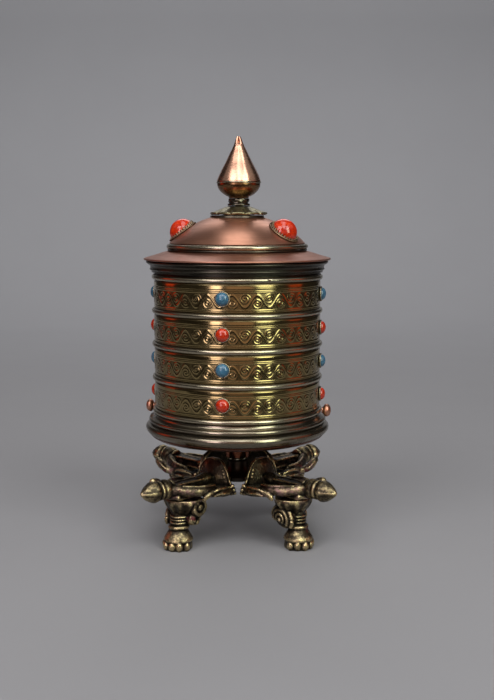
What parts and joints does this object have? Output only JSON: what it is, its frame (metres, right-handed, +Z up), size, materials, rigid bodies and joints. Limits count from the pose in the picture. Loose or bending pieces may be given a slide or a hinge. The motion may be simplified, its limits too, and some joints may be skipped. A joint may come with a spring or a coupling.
{
  "type": "prayer wheel",
  "caption": "Upright table prayer wheel: ringed brass drum under a copper domed lid with a teardrop finial, turning on a spindle over a crossed-vajra stand on lion-paw legs.",
  "frame": {"origin": "on the table, directly under the spindle", "axes": "+Z up along the spindle, -Y towards the front; the four arms of the stand lie on the diagonals"},
  "size_m": [0.0936, 0.093, 0.1994],
  "materials": {
    "copper": "burnished copper with brown patina",
    "dark_brass": "near-black bronze patina, lightly rubbed",
    "antique_brass": "antiqued brass, bright on the proud edges",
    "brass_sheet": "antiqued embossed brass sheet",
    "cast_brass": "rough cast brass with dark patina",
    "steel": "plain turned steel",
    "coral": "polished coral-red cabochon",
    "turquoise": "polished blue-green cabochon",
    "paper": "rolled paper",
    "thread": "cotton tape"
  },
  "bodies": {
    "stand": {"spindle": "steel", "stand_hub": "cast_brass", "spindle_nut": "antique_brass", "thrust_washer": "antique_brass", "vajra_arm_front_right": "cast_brass", "leg_front_right": "cast_brass", "vajra_arm_back_right": "cast_brass", "leg_back_right": "cast_brass", "vajra_arm_back_left": "cast_brass", "leg_back_left": "cast_brass", "vajra_arm_front_left": "cast_brass", "leg_front_left": "cast_brass"},
    "drum": {"drum_wall": "brass_sheet", "band_ring_1": "antique_brass", "band_ring_2": "antique_brass", "band_ring_3": "antique_brass", "band_ring_4": "antique_brass", "band_ring_5": "antique_brass", "base_moulding": "antique_brass", "bottom_plate": "copper", "guide_bush": "copper", "core_tube": "copper", "pivot_cup": "steel", "mantra_scroll": "paper", "scroll_tie_upper": "thread", "scroll_tie_lower": "thread", "turquoise_tier1_1": "turquoise", "turquoise_tier1_2": "turquoise", "turquoise_tier1_3": "turquoise", "turquoise_tier1_4": "turquoise", "coral_tier2_1": "coral", "coral_tier2_2": "coral", "coral_tier2_3": "coral", "coral_tier2_4": "coral", "turquoise_tier3_1": "turquoise", "turquoise_tier3_2": "turquoise", "turquoise_tier3_3": "turquoise", "turquoise_tier3_4": "turquoise", "coral_tier4_1": "coral", "coral_tier4_2": "coral", "coral_tier4_3": "coral", "coral_tier4_4": "coral", "spin_knob_1": "copper", "spin_knob_2": "copper"},
    "lid": {"finial_cone": "copper", "finial_bowl": "dark_brass", "finial_neck": "dark_brass", "lotus_cap": "antique_brass", "tie_bolt": "steel", "dome": "copper", "dome_ring": "antique_brass", "ledge_ring": "antique_brass", "roof": "copper", "cornice": "dark_brass", "dome_bezel_1": "antique_brass", "dome_bezel_2": "antique_brass", "dome_bezel_3": "antique_brass", "dome_coral_1": "coral", "dome_coral_2": "coral", "dome_coral_3": "coral"}
  },
  "joints": [
    {"name": "drum_spin", "type": "hinge", "parent": "stand", "child": "drum", "pos_m": [0, 0, 0], "axis": [0, 0, 1], "continuous": true},
    {"name": "lid_lift", "type": "slide", "parent": "drum", "child": "lid", "axis": [0, 0, 1], "range_m": [0, 0.04]}
  ]
}
